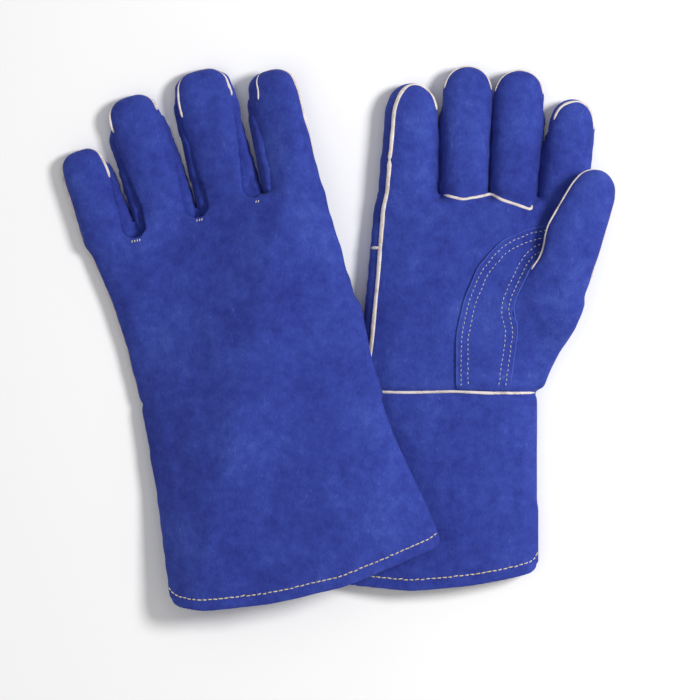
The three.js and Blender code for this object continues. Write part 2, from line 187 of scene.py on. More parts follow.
def resampled(path, spacing):
    """A path's points at even spacing."""
    path = np.asarray(path, float)
    length = np.concatenate([[0], np.cumsum(np.linalg.norm(np.diff(path, axis=0), axis=1))])
    count = max(int(round(length[-1] / spacing)), 1)
    at = np.linspace(0, length[-1], count + 1)
    return np.stack([np.interp(at, length, path[:, k]) for k in range(path.shape[1])], axis=1)


def eased(path, rounds):
    """A path evened out, with its ends kept."""
    path = np.array(path)
    for _ in range(rounds):
        path[1:-1] += 0.5 * ((path[:-2] + path[2:]) / 2 - path[1:-1])
    return path


class Digit:
    """One finger or thumb: its joint, the way it points, and its size, in its glove's plan."""

    def __init__(self, glove, name):
        self.name = name
        self.body = f"{glove.side}_{name}_tip"
        self.thumb = name == "thumb"
        self.gap = THUMB_GAP if self.thumb else JOINT_GAP
        self.bend = THUMB_BEND if self.thumb else JOINT_BEND
        self.widening = WIDER.get(f"{glove.side}_{name}", 0.0)
        joint = JOINTS[self.body]
        self.hinge = glove.plan(np.array([joint["pos_m"]]) * 1000)[0]
        axis = glove.turn(np.array([joint["axis"]]))[0]
        along = np.array([-axis[1], axis[0]])
        back, front, welt = (glove.plan(vertices(f"{self.body}_{kind}"))
                             for kind in ("back", "front", "welt"))
        self.along = along * np.sign((back[:, :2].mean(axis=0) - self.hinge[:2]) @ along)
        self.across = np.array([self.along[1], -self.along[0]])
        own = self.place(back)
        self.length = own[:, 0].max()
        self.half = abs(own[:, 1]).max()
        self.seam = welt[:, 2].mean()
        self.low = min(back[:, 2].min(), front[:, 2].min())
        self.high = max(back[:, 2].max(), front[:, 2].max())

    def place(self, points):
        """Distances along and across the digit from its joint."""
        offset = points[..., :2] - self.hinge[:2]
        return np.stack([offset @ self.along, offset @ self.across], axis=-1)

    def spot(self, s, t):
        """The plan points at distances along and across the digit from its joint."""
        return self.hinge[:2] + np.multiply.outer(s, self.along) + np.multiply.outer(t, self.across)

    def widened(self, s):
        """How many times its CAD width the digit is at a distance along it."""
        return 1 + self.widening * eased_step((s + 8) / 22)


class Glove:
    """One glove, drawn in its own plan: u across the hand, v from the cuff to the fingers, z up."""

    def __init__(self, side):
        self.side = side
        self.palm_up = side == "right"
        self.hand = f"{side}_hand"
        seam = vertices(f"{side}_wrist_welt")
        self.centre = seam.mean(axis=0) * (1, 1, 0)
        offset = seam[:, :2] - seam[:, :2].mean(axis=0)
        u = np.linalg.eigh(offset.T @ offset)[1][:, 1]
        tip = np.array(JOINTS[f"{side}_middle_tip"]["pos_m"]) * 1000 - self.centre
        v = np.array([-u[1], u[0]])
        v *= np.sign(tip[:2] @ v)
        self.axes = np.array([[v[1], -v[0], 0], [v[0], v[1], 0], [0, 0, 1]])
        self.digits = {name: Digit(self, name) for name in DIGITS}
        self.fingers = [self.digits[name] for name in FINGERS]
        self.across = sorted(self.fingers, key=lambda digit: digit.hinge[0])
        self.outside = np.sign(self.digits["little"].hinge[0] - self.digits["index"].hinge[0])
        self.panels = [f"{side}_{name}" for name in HAND_PANELS]
        self.walls = [f"{side}_{name}" for name in FORKS]
        self.tips = {name: [f"{side}_{name}_tip_back", f"{side}_{name}_tip_front"] for name in DIGITS}
        everything = np.vstack([self.plan(vertices(n)) for n in self.panels + sum(self.tips.values(), [])])
        self.low = everything.min(axis=0) - PAD
        self.high = everything.max(axis=0) + PAD
        self.count = np.ceil((self.high - self.low) / CELL).astype(int)
        self.u, self.v, self.z = (self.low[k] + CELL * np.arange(self.count[k]) for k in range(3))
        self.cells = np.stack(np.meshgrid(self.u, self.v, indexing="ij"), axis=-1)

    def turn(self, directions):
        return directions @ self.axes.T

    def plan(self, points):
        return (points - self.centre) @ self.axes.T

    def row(self, points):
        """Points of the plan as row frame points in metres."""
        return (points @ self.axes + self.centre) / 1000

    def node(self, name):
        """A CAD node's vertices in the plan."""
        return self.plan(vertices(f"{self.side}_{name}"))

    def corners(self, nodes):
        """The triangles of some CAD nodes in the plan."""
        return np.vstack([self.plan(triangles(n).reshape(-1, 3)) for n in nodes]).reshape(-1, 3, 3)

    def heights(self, nodes):
        """The highest and lowest surface of some nodes over each cell, NaN where there is none."""
        top = np.full(self.count[:2], -np.inf)
        low = np.full(self.count[:2], np.inf)
        for a, b, c in self.corners(nodes):
            det = (b[0] - a[0]) * (c[1] - a[1]) - (c[0] - a[0]) * (b[1] - a[1])
            if abs(det) < 1e-6:
                continue
            box = np.array([a, b, c])[:, :2]
            i0, j0 = np.maximum(np.floor((box.min(axis=0) - self.low[:2]) / CELL).astype(int), 0)
            i1, j1 = np.ceil((box.max(axis=0) - self.low[:2]) / CELL).astype(int) + 1
            du = self.u[i0:i1, None] - a[0]
            dv = self.v[None, j0:j1] - a[1]
            s = (du * (c[1] - a[1]) - (c[0] - a[0]) * dv) / det
            t = ((b[0] - a[0]) * dv - du * (b[1] - a[1])) / det
            inside = (s >= -1e-3) & (t >= -1e-3) & (s + t <= 1.001)
            z = a[2] + s * (b[2] - a[2]) + t * (c[2] - a[2])
            top[i0:i1, j0:j1] = np.where(inside, np.maximum(top[i0:i1, j0:j1], z), top[i0:i1, j0:j1])
            low[i0:i1, j0:j1] = np.where(inside, np.minimum(low[i0:i1, j0:j1], z), low[i0:i1, j0:j1])
        none = ~np.isfinite(top)
        top[none] = np.nan
        low[none] = np.nan
        return top, low

    def cell_of(self, points):
        """The grid cell nearest each point."""
        index = np.round((points - self.low[:points.shape[1]]) / CELL).astype(int)
        return tuple(np.clip(index, 0, self.count[:points.shape[1]] - 1).T)

    def bridge(self, surface, digit):
        """Carries a surface straight across the parted leather at a digit's joint."""
        own = digit.place(self.cells)
        inside = (abs(own[..., 0]) < digit.gap) & (abs(own[..., 1]) < digit.half + 2)
        s, t = own[inside].T
        before = surface[self.cell_of(digit.spot(-digit.gap - 1.5, t))]
        after = surface[self.cell_of(digit.spot(digit.gap + 1.5, t))]
        share = (s + digit.gap) / (2 * digit.gap)
        carried = before + (after - before) * share
        surface[inside] = np.where(np.isfinite(carried), carried, surface[inside])

    def shaped(self, digit, own, surface):
        """A finger's surface, widened past its joint, with its end a little squarer on the left glove."""
        tip = ROUND_TIP if self.palm_up else SQUARE_TIP
        near = (own[..., 0] > -8) & (own[..., 0] < digit.length + 6) & (abs(own[..., 1]) < 1.2 * digit.half)
        s, t = own[near].T
        t = t / digit.widened(s)
        centre = digit.length - digit.half
        p = np.maximum(s - centre, 0) / digit.half
        q = abs(t) / digit.half
        pull = (p ** tip + q ** tip) ** (1 / tip) / np.maximum(np.sqrt(p * p + q * q), 1e-6)
        pull = np.where(p > 0, pull, 1.0)
        s = np.where(p > 0, centre + (s - centre) * pull, s)
        out = surface.copy()
        out[near] = surface[self.cell_of(digit.spot(s, t * pull))]
        return out

    def solid(self, top, low):
        """The space between two surfaces, as a share of each cell of the grid."""
        empty = ~np.isfinite(top) | ~np.isfinite(low)
        upper = np.where(empty, -1e3, top)[..., None]
        lower = np.where(empty, 1e3, low)[..., None]
        below = np.clip((upper - self.z) / CELL + 0.5, 0, 1)
        share = below * np.clip((self.z - lower) / CELL + 0.5, 0, 1)
        return share.astype(np.float32)

    def find_hem(self, top, surfaces):
        """Finds the hem, and carries the cuff's surfaces past it, to be cut off cleanly after softening."""
        covered = np.isfinite(top)
        first = np.where(covered.any(axis=1), covered.argmax(axis=1), -1)
        hem = np.where(first >= 0, self.v[first], np.nan)
        cuff = (first >= 0) & (hem < np.nanmedian(hem) + 25)
        self.hem = blur(np.interp(self.u, self.u[cuff], hem[cuff]), 5.0, (0,))
        from_side = np.minimum(self.u - self.u[cuff].min(), self.u[cuff].max() - self.u)
        corner = np.clip(1 - from_side / HEM_CORNER[0], 0, 1)
        self.hem += HEM_CORNER[1] * (1 - np.sqrt(1 - corner ** 2))
        for surface in surfaces:
            for i in np.where(cuff)[0]:
                j = first[i] + int(5 / CELL)
                surface[i, :j] = surface[i, j]

    def thumb_root(self, own, top, low):
        """Lets the thumb's root flow into the palm, drawn in on its inner side where it leaves the hand."""
        thumb = self.digits["thumb"]
        thumb_top, thumb_low = self.heights([f"{self.side}_thumb_base"] + self.tips["thumb"])
        self.bridge(thumb_top, thumb)
        self.bridge(thumb_low, thumb)
        s, t = own[..., 0], own[..., 1]
        if self.palm_up:
            inward = np.sign(self.digits["little"].hinge[0] - thumb.hinge[0]) * np.sign(thumb.across[0])
            waist = WAIST * np.exp(-((s + 4) / 17) ** 2)
            shaved = (t * inward > thumb.half - waist) & (s > -34) & (s < 34) & (thumb_top > thumb.seam - 2)
            thumb_top[shaved] = np.nan
            shaved &= s < 2
            top[shaved] = np.nan
            top = np.where(shaved, spread(top, 5.0)[0], top)
        near_root = eased_step((-s - 14) / 20) * eased_step((s + 95) / 25)
        near_root = near_root * eased_step((thumb.half + 26 - abs(t)) / 18)
        for surface in (top, low):
            mean, share = spread(surface, 9.0)
            grown = ~np.isfinite(surface) & (share > 0.40) & (near_root > 0.3)
            surface[grown] = mean[grown]
            weight = np.where(np.isfinite(surface), near_root, 0)
            surface += np.where(weight > 0, weight * (mean - surface), 0)
        return top, thumb_top, thumb_low

    def soften(self, top, low, thumb_top, thumb_low, thumb_own):
        """The softened hand, fingers and thumb, each apart, so that the creases between them stay sharp."""
        forks = [self.plan(vertices(node)) for node in self.walls]
        forks = np.array([(fork[:, 0].mean(), fork[:, 1].min() + 9) for fork in forks])
        self.forks = forks[forks[:, 0].argsort()]
        fork_line = np.interp(self.u, self.forks[:, 0], self.forks[:, 1])[:, None]
        v = self.cells[..., 1]
        palm = np.where(v < fork_line + 1, top, np.nan)
        parts = [blur(self.solid(palm, low), HAND_SOFTNESS)]
        for digit in self.fingers:
            own = digit.place(self.cells)
            wide = digit.half * digit.widened(own[..., 0])
            lane = (abs(own[..., 1]) < wide + 0.6) & (v > fork_line - 14)
            upper, lower = self.shaped(digit, own, top), self.shaped(digit, own, low)
            parts.append(blur(self.solid(np.where(lane, upper, np.nan), lower), DIGIT_SOFTNESS))
        tube = thumb_own[..., 0] > -30
        parts.append(blur(self.solid(np.where(tube, thumb_top, np.nan), thumb_low), DIGIT_SOFTNESS))
        return parts

    def skin(self):
        """The glove's outer surface, open at the cuff, as a field over the grid that is positive inside."""
        nodes = self.panels + self.walls + sum((self.tips[name] for name in FINGERS), [])
        top, low = self.heights(nodes)
        for digit in self.fingers:
            self.bridge(top, digit)
            self.bridge(low, digit)
        lining_top, lining_low = self.heights([f"{self.side}_lining"])
        self.find_hem(top, (top, low, lining_top, lining_low))
        own = self.digits["thumb"].place(self.cells)
        top, thumb_top, thumb_low = self.thumb_root(own, top, low)
        self.seam_height = spread(low + SEAM_SHARE * (top - low), 4.0)[0]
        self.parts = self.soften(top, low, thumb_top, thumb_low, own)
        self.palm_field = np.maximum.reduce(self.parts[:5])
        self.part = np.argmax(self.parts, axis=0).astype(np.int8)
        outer = np.minimum(np.maximum.reduce(self.parts) - SWELL, 0.5 - self.slot_channels())

        past_hem = (self.cells[..., 1] - self.hem[:, None])[..., None]
        mouth = (past_hem[..., 0] < MOUTH) & (plan_blur(np.isfinite(lining_top), 2.5) > 0.84)
        room = blur(self.solid(np.where(mouth, lining_top - 0.4, np.nan), lining_low + 0.4), 0.9)
        self.lining_field = room - 0.62
        field = np.minimum(outer, 0.5 - room)
        return np.minimum(field, np.clip(past_hem / (2 * HAND_SOFTNESS), -0.5, 0.5))

    def slots(self):
        """Each gap's two fingers and its middle line, from below its bottom to the fingertips."""
        lines = []
        for (u, v), depth, a, b in zip(self.forks, SLOT_DEPTH[self.side], self.across[:-1], self.across[1:]):
            reach = min(a.length, b.length)
            head = (a.spot(reach, 0) + b.spot(reach, 0)) / 2
            inner_a = a.spot(reach * 0.6, 0) + a.across * a.half * np.sign(a.across[0])
            inner_b = b.spot(reach * 0.6, 0) - b.across * b.half * np.sign(b.across[0])
            knee = (inner_a + inner_b) / 2
            head = knee + (head - knee) * 0.9
            lines.append((a, b, np.array([(u, v - depth), (u, v), knee, head])))
        return lines

    def slot_channels(self):
        """Where the leather is cut away beside each gap to show the side walls, puckered on the back."""
        channel = np.zeros(tuple(self.count), np.float32)
        pucker = 1.6 * plan_noise(self.cells.reshape(-1, 2), 4.5, 63).reshape(self.count[:2])
        seam = self.seam_height
        for a, b, line in self.slots():
            box = (self.cells[..., 1] > line[0][1] - 12) & (abs(self.cells[..., 0] - line[0][0]) < 40)
            near = np.full(self.count[:2], np.inf)
            near[box] = distance(self.cells[box], resampled(line, 1.0))
            if self.palm_up:
                inside = near < SLOT_RADIUS
                low, top = -200.0, seam - 3.0
            else:
                foot = 0.8 if {a.name, b.name} == {"middle", "index"} else 2.4
                inside = near < SLOT_RADIUS + foot * np.clip(1 - (self.cells[..., 1] - line[1][1]) / 30, 0, 1)
                low, top = seam + 3.0 + pucker, 200.0
            space = self.solid(np.where(inside, top, np.nan), np.where(inside, low, np.nan))
            channel = np.maximum(channel, blur(space, 0.9))
        return channel


# ---- Making meshes ----

def surface(glove, field):
    """A field's zero surface, in the glove's plan: points and outward quads."""
    grid = openvdb.FloatGrid()
    grid.background = -1.0
    grid.copyFromArray(np.ascontiguousarray(field, dtype=np.float32))
    points, quads = grid.convertToQuads(isovalue=0.0)
    return glove.low + points.astype(float) * CELL, quads[:, ::-1].astype(int)


def smoothed(points, quads, rounds, strength=0.5, shrink=-0.52):
    """Points relaxed towards their neighbours and back, which evens a surface without shrinking it."""
    edges = np.vstack([quads[:, [k, (k + 1) % 4]] for k in range(4)])
    count = np.bincount(edges[:, 0], minlength=len(points)) + np.bincount(edges[:, 1], minlength=len(points))
    count = np.maximum(count, 1)
    for k in range(2 * rounds):
        step = strength if k % 2 == 0 else shrink
        mean = np.empty_like(points)
        for axis in range(3):
            mean[:, axis] = (
                np.bincount(edges[:, 0], points[edges[:, 1], axis], len(points))
                + np.bincount(edges[:, 1], points[edges[:, 0], axis], len(points))
            ) / count
        points = points + step * (mean - points)
    return points


def normals_of(points, faces):
    a, b, c, d = (points[faces[:, k]] for k in range(4))
    flat = np.cross(c - a, d - b)
    out = np.zeros_like(points)
    for k in range(4):
        for axis in range(3):
            out[:, axis] += np.bincount(faces[:, k], flat[:, axis], len(points))
    return out / np.maximum(np.linalg.norm(out, axis=1, keepdims=True), 1e-9)


def make(glove, name, shape, look, digit=None, normals=None, replaces=None):
    """A piece from plan points and faces, held by the hand, or for a digit left where it lies with its
    transform baked.
    """
    points, faces = shape
    material, slot = look
    used, index = np.unique(np.concatenate(list(faces)), return_inverse=True)
    ends = np.cumsum([len(face) for face in faces])
    placed = glove.row(points[used])
    placed[:, 2] = np.maximum(placed[:, 2], FLOOR_GAP)  # soft leather lies flat on what is under it
    mesh = bpy.data.meshes.new(name)
    mesh.from_pydata(placed.tolist(), [], [part.tolist() for part in np.split(index, ends[:-1])])
    mesh.update()
    mesh.polygons.foreach_set("use_smooth", np.ones(len(mesh.polygons), bool))
    if normals is not None:
        mesh.normals_split_custom_set_from_vertices((normals[used] @ glove.axes).tolist())
    mesh.materials.append(material)
    made = bpy.data.objects.new(name, mesh)
    bpy.context.scene.collection.objects.link(made)
    if digit is None:
        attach(made, glove.hand)
    else:
        along = np.array([digit.along[0], digit.along[1], 0]) * digit.bend
        start, end = glove.row(np.array([digit.hinge - along, digit.hinge + along]))
        tuple(start)
        tuple(end)
        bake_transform(made)
    if replaces is not None:
        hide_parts(replaces)
    return made


def tube(rings, sides, base=0):
    """The faces of a tube of point rings, closed at both ends."""
    faces = []
    for i in range(rings - 1):
        low = base + sides * i
        for k in range(sides):
            m = (k + 1) % sides
            faces.append([low + k, low + m, low + sides + m, low + sides + k])
    faces.append([base + k for k in range(sides)][::-1])
    faces.append([base + sides * (rings - 1) + k for k in range(sides)])
    return faces


def strip(path, up, width, height, seed, size=1.0, sides=10):
    """A welt: a rounded strip along a path, width across it and height along up, tapered at its ends."""
    tangent = np.gradient(path, axis=0)
    tangent /= np.maximum(np.linalg.norm(tangent, axis=1, keepdims=True), 1e-9)
    side = np.cross(tangent, up)
    side /= np.maximum(np.linalg.norm(side, axis=1, keepdims=True), 1e-9)
    rise = np.cross(side, tangent)
    angle = np.arange(sides) * 2 * math.pi / sides
    section_u = np.sign(np.cos(angle)) * abs(np.cos(angle)) ** 0.7 * width / 2
    section_v = np.sign(np.sin(angle)) * abs(np.sin(angle)) ** 0.7 * height / 2
    uneven = 1 + 0.10 * noise(path, 3.1, seed) + 0.10 * noise(path, 9.0, seed + 1)
    from_end = np.minimum(np.arange(len(path)), np.arange(len(path))[::-1])
    taper = np.minimum(1, 0.45 + 0.275 * from_end)
    grow = (uneven * taper * size)[:, None, None]
    sway = 0.22 * noise(path, 14.0, seed + 2)[:, None, None]
    points = path[:, None] + side[:, None] * (section_u[:, None] * grow + sway)
    points = points + rise[:, None] * section_v[:, None] * grow
    return points.reshape(-1, 3), tube(len(path), sides)


def stitches(path, up, length, gap, thick, seed, sides=6):
    """A row of thread stitches along a path, each a bent capsule that dips into the leather at both ends."""
    outline = ((-1.0, 0.35), (-0.82, 0.8), (-0.4, 1.0), (0.0, 1.05), (0.4, 1.0), (0.82, 0.8), (1.0, 0.35))
    spots = resampled(np.hstack([path, up]), length + gap)
    wobble = np.random.default_rng(seed)
    points, faces = [], []
    for a, b in zip(spots[:-1], spots[1:]):
        run = b[:3] - a[:3]
        reach = np.linalg.norm(run)
        if reach < 0.5 * (length + gap):
            continue
        run = run / reach
        rise = a[3:] + b[3:]
        rise -= run * (rise @ run)
        rise /= np.linalg.norm(rise)
        side = np.cross(run, rise)
        skew = wobble.normal(0, 0.10) * side
        size = length * (1 + wobble.normal(0, 0.07))
        middle = (a[:3] + b[:3]) / 2 + side * wobble.normal(0, 0.12)
        faces += tube(len(outline), sides, len(points))
        for f, g in outline:
            centre = middle + (run + skew) * f * size / 2 + rise * (0.34 - 0.62 * f * f)
            for k in range(sides):
                angle = 2 * math.pi * k / sides
                points.append(centre + thick * g * (math.cos(angle) * side * 1.15 + math.sin(angle) * rise))
    return np.array(points), faces


def merged(parts):
    points, faces, base = [], [], 0
    for part_points, part_faces in parts:
        points.append(part_points)
        faces += [[base + k for k in face] for face in part_faces]
        base += len(part_points)
    return np.vstack(points), faces


# ---- Materials, each with its slot in the record ----

def material(name, roughness):
    """A new material, its node tree and shader, and the place on the object that its patterns follow."""
    made = bpy.data.materials.new(name)
    made.use_nodes = True
    tree = made.node_tree
    shader = tree.nodes["Principled BSDF"]
    shader.inputs["Roughness"].default_value = roughness
    return made, tree, shader, tree.nodes.new("ShaderNodeTexCoord").outputs["Object"]


def linear(rgb):
    """A colour of 0 to 255 in scene linear values."""
    return tuple((c / 255 / 12.92) if c <= 10 else ((c / 255 + 0.055) / 1.055) ** 2.4 for c in rgb) + (1,)


def noise_node(tree, coordinates, scale, detail, roughness=0.55, stretch=(1, 1, 1)):
    placed = tree.nodes.new("ShaderNodeMapping")
    placed.inputs["Scale"].default_value = stretch
    tree.links.new(coordinates, placed.inputs["Vector"])
    made = tree.nodes.new("ShaderNodeTexNoise")
    made.inputs["Scale"].default_value = scale
    made.inputs["Detail"].default_value = detail
    made.inputs["Roughness"].default_value = roughness
    tree.links.new(placed.outputs["Vector"], made.inputs["Vector"])
    return made.outputs["Fac"]


def combine(tree, operation, a, b):
    made = tree.nodes.new("ShaderNodeMath")
    made.operation = operation
    for socket, value in zip(made.inputs, (a, b)):
        if isinstance(value, (int, float)):
            socket.default_value = value
        else:
            tree.links.new(value, socket)
    return made.outputs[0]


def mixed(tree, *shares):
    """The sum of some patterns, each times its share."""
    total, *others = (combine(tree, "MULTIPLY", pattern, share) for pattern, share in shares)
    for other in others:
        total = combine(tree, "ADD", total, other)
    return total


def ramp(tree, value, stops):
    """Colours by a pattern's value, from places and colours in order."""
    made = tree.nodes.new("ShaderNodeValToRGB")
    while len(made.color_ramp.elements) < len(stops):
        made.color_ramp.elements.new(0.5)
    for element, (place, colour) in zip(made.color_ramp.elements, stops):
        element.position = place
        element.color = colour
    tree.links.new(value, made.inputs["Fac"])
    return made.outputs["Color"]


def bumped(tree, shader, layers):
    """Bump layers, each a height and its depth in metres."""
    normal = None
    for height, depth in layers:
        made = tree.nodes.new("ShaderNodeBump")
        made.inputs["Strength"].default_value = 1.0
        made.inputs["Distance"].default_value = depth
        tree.links.new(height, made.inputs["Height"])
        if normal is not None:
            tree.links.new(normal, made.inputs["Normal"])
        normal = made.outputs["Normal"]
    tree.links.new(normal, shader.inputs["Normal"])


def suede(name, tone):
    """Blue split cowhide: a mottled nap of short fibres, paler where it is rubbed up."""
    made, tree, shader, place = material(name, 0.92)
    cloud = noise_node(tree, place, 22, 4, 0.6)
    mottle = noise_node(tree, place, 150, 5, 0.65)
    nap = noise_node(tree, place, 900, 4, 0.7, (1.0, 0.45, 1.0))
    fleck = noise_node(tree, place, 520, 2, 0.5, (1.0, 0.35, 1.0))
    mix = combine(tree, "ADD", mixed(tree, (cloud, 0.40), (mottle, 0.36), (nap, 0.24)), tone)
    colour = ramp(tree, mix, [
        (0.34, linear((38, 47, 126))),
        (0.45, linear((47, 60, 145))),
        (0.54, linear((54, 70, 158))),
        (0.68, linear((69, 88, 175))),
    ])
    rubs = mixed(tree, (fleck, 0.8), (cloud, 0.2))
    scuff = ramp(tree, rubs, [(0.66, (0, 0, 0, 1)), (0.74, (0.35, 0.35, 0.35, 1))])
    rubbed = tree.nodes.new("ShaderNodeMix")
    rubbed.data_type = "RGBA"
    tree.links.new(scuff, rubbed.inputs["Factor"])
    tree.links.new(colour, rubbed.inputs["A"])
    rubbed.inputs["B"].default_value = linear((106, 122, 192))
    tree.links.new(rubbed.outputs["Result"], shader.inputs["Base Color"])
    shader.inputs["Specular IOR Level"].default_value = 0.15
    shader.inputs["Sheen Weight"].default_value = 0.22
    shader.inputs["Sheen Roughness"].default_value = 0.45
    shader.inputs["Sheen Tint"].default_value = linear((130, 140, 225))
    bumped(tree, shader, [(cloud, 0.0012), (mottle, 0.0007), (nap, 0.00028)])
    return made, "blue_suede"


def welt_leather():
    """Natural split leather, off-white with a slight pink, grubby in places."""
    made, tree, shader, place = material("welt_leather", 0.75)
    broad = noise_node(tree, place, 120, 4)
    fine = noise_node(tree, place, 1100, 4)
    colour = ramp(tree, mixed(tree, (broad, 0.6), (fine, 0.4)), [
        (0.32, linear((182, 168, 160))),
        (0.50, linear((226, 214, 205))),
        (0.66, linear((242, 234, 226))),
    ])
    tree.links.new(colour, shader.inputs["Base Color"])
    shader.inputs["Specular IOR Level"].default_value = 0.25
    bumped(tree, shader, [(broad, 0.0003), (fine, 0.00012)])
    return made, "welt_leather"


def thread(name, dark, pale):
    """Twisted sewing thread."""
    made, tree, shader, place = material(name, 0.7)
    twist = tree.nodes.new("ShaderNodeTexWave")
    twist.bands_direction = "DIAGONAL"
    twist.inputs["Scale"].default_value = 900
    twist.inputs["Distortion"].default_value = 1.5
    tree.links.new(place, twist.inputs["Vector"])
    mix = mixed(tree, (noise_node(tree, place, 260, 3), 0.7), (twist.outputs["Fac"], 0.3))
    tree.links.new(ramp(tree, mix, [(0.3, linear(dark)), (0.6, linear(pale))]), shader.inputs["Base Color"])
    bumped(tree, shader, [(twist.outputs["Fac"], 0.0001)])
    return made, "sewing_thread"


def cotton():
    """Fleecy cotton lining, off-white."""
    made, tree, shader, place = material("cotton_lining", 0.95)
    fleece = noise_node(tree, place, 700, 5, 0.7)
    mix = mixed(tree, (fleece, 0.6), (noise_node(tree, place, 60, 3), 0.4))
    colour = ramp(tree, mix, [(0.3, linear((178, 172, 160))), (0.65, linear((226, 220, 208)))])
    tree.links.new(colour, shader.inputs["Base Color"])
    shader.inputs["Sheen Weight"].default_value = 0.3
    bumped(tree, shader, [(fleece, 0.0006)])
    return made, "cotton_lining"


# How much paler or darker each panel's hide is. The first name found in a node's name counts.
TONES = {
    "back_panel": 0.0, "palm_panel": 0.01, "cuff_panel": -0.02, "thumb_base": 0.0, "ring_front": 0.02,
    "middle_front": 0.0, "tip_back": 0.0, "tip_front": 0.01, "fork": -0.05, "thumb_strap": 0.0,
    "strap_edge": 0.16,
}
SUEDE = {label: suede(f"blue_suede_{label}", tone) for label, tone in TONES.items()}
WELT = welt_leather()
THREAD = thread("sewing_thread", (196, 186, 160), (238, 232, 214))
STRAP_THREAD = thread("strap_thread", (150, 152, 178), (206, 204, 200))
HEM_THREAD = thread("hem_thread", (188, 172, 128), (232, 220, 182))
COTTON = cotton()


# ---- Leather, lining and walls ----

def suede_for(label):
    return next((SUEDE[key] for key in SUEDE if key in label), SUEDE["fork"])


def nearest_panels(glove, nodes, centres):
    """For each face centre, the index of the CAD panel it lies on."""
    spots, owners = [], []
    for index, node in enumerate(nodes):
        corners = glove.corners([node])
        sides = corners[:, 1:] - corners[:, :1]
        area = 0.5 * np.linalg.norm(np.cross(sides[:, 0], sides[:, 1]), axis=1)
        count = np.ceil(area / 5).astype(int)
        c = corners[np.repeat(np.arange(len(corners)), count)]
        a, b = np.random.default_rng(index).random((2, len(c)))
        flip = a + b > 1
        a, b = np.where(flip, 1 - a, a), np.where(flip, 1 - b, b)
        spots.append(c[:, 0] + a[:, None] * (c[:, 1] - c[:, 0]) + b[:, None] * (c[:, 2] - c[:, 0]))
        owners.append(np.full(len(c), index))
    spots, owners = np.vstack(spots), np.concatenate(owners)
    tree = KDTree(len(spots))
    for k, spot in enumerate(spots):
        tree.insert(spot, k)
    tree.balance()
    return np.array([owners[tree.find(centre)[1]] for centre in centres])


def rumpled(glove, points, normals):
    """Skin points pushed in and out a little, as in used leather, and less near the hem."""
    rumple = 0.75 * noise(points, 46, 11) + 0.45 * noise(points, 19, 12) + 0.16 * noise(points, 7, 13)
    edge = np.clip((points[:, 1] - np.interp(points[:, 0], glove.u, glove.hem)) / 12, 0, 1)
    return points + normals * (0.15, 0.15, 1.0) * (rumple * (0.25 + 0.75 * edge))[:, None]


def panel_labels(glove, names, centres, facing):
    """The panel each face goes to, and past a joint the digit's moving end."""
    side = glove.side
    inside = glove.cell_of(centres - 1.6 * facing)
    part = glove.part[inside]
    nearest = nearest_panels(glove, names, centres)
    label = nearest.copy()
    thumb_nodes = [names.index(n) for n in [f"{side}_thumb_base"] + glove.tips["thumb"]]
    for number, name in enumerate(DIGITS):
        digit = glove.digits[name]
        own = digit.place(centres)
        mine = (own[:, 0] > -digit.bend) & (abs(own[:, 1]) < digit.half + 4)
        if digit.thumb:
            root = np.isin(nearest, thumb_nodes) & (glove.parts[-1][inside] > SWELL - 0.05)
            root &= (centres[:, 2] > digit.low - 3) & (centres[:, 2] < digit.high + 3)
            mine &= root | (part == len(DIGITS))
        else:
            mine &= part == number + 1
        upper = centres[:, 2] > digit.seam
        front = upper if glove.palm_up else ~upper
        label[mine & front] = names.index(f"{side}_{name}_tip_front")
        label[mine & ~front] = names.index(f"{side}_{name}_tip_back")
        # What is not the digit's own keeps to the fixed panels.
        stray = ~mine & np.isin(label, [names.index(n) for n in glove.tips[name]])
        label[stray] = names.index(f"{side}_thumb_base" if digit.thumb else f"{side}_back_panel")
    return label


def add_skin(glove):
    """The leather, grown in one sheet and parted into its panels. Gives the sheet to lay welts on."""
    points, quads = surface(glove, glove.skin())
    points = smoothed(points, quads, 3)
    points = rumpled(glove, points, normals_of(points, quads))
    normals = normals_of(points, quads)
    names = glove.panels + sum(glove.tips.values(), [])
    label = panel_labels(glove, names, points[quads].mean(axis=1), normals[quads].mean(axis=1))
    for index, node in enumerate(names):
        if (label == index).any():
            digit = next((d for d in glove.digits.values() if node.startswith(d.body)), None)
            shape = (points, quads[label == index])
            make(glove, f"{node}_leather", shape, suede_for(node), digit, normals, node)
    return BVHTree.FromPolygons(points.tolist(), quads.tolist())


def add_lining(glove):
    """The cotton sleeve, seen in the cuff's mouth."""
    points, quads = surface(glove, glove.lining_field)
    points = smoothed(points, quads, 2)
    points = points + normals_of(points, quads) * (0.5 * noise(points, 9, 21))[:, None]
    inside = points[quads].mean(axis=1)
    keep = inside[:, 1] > np.interp(inside[:, 0], glove.u, glove.hem) + 2.5
    name = f"{glove.side}_lining"
    piece = make(glove, f"{name}_sleeve", (points, quads[keep]), COTTON, replaces=name)
    thickness = piece.modifiers.new("thickness", "SOLIDIFY")
    thickness.thickness = 0.0012
    thickness.offset = -1


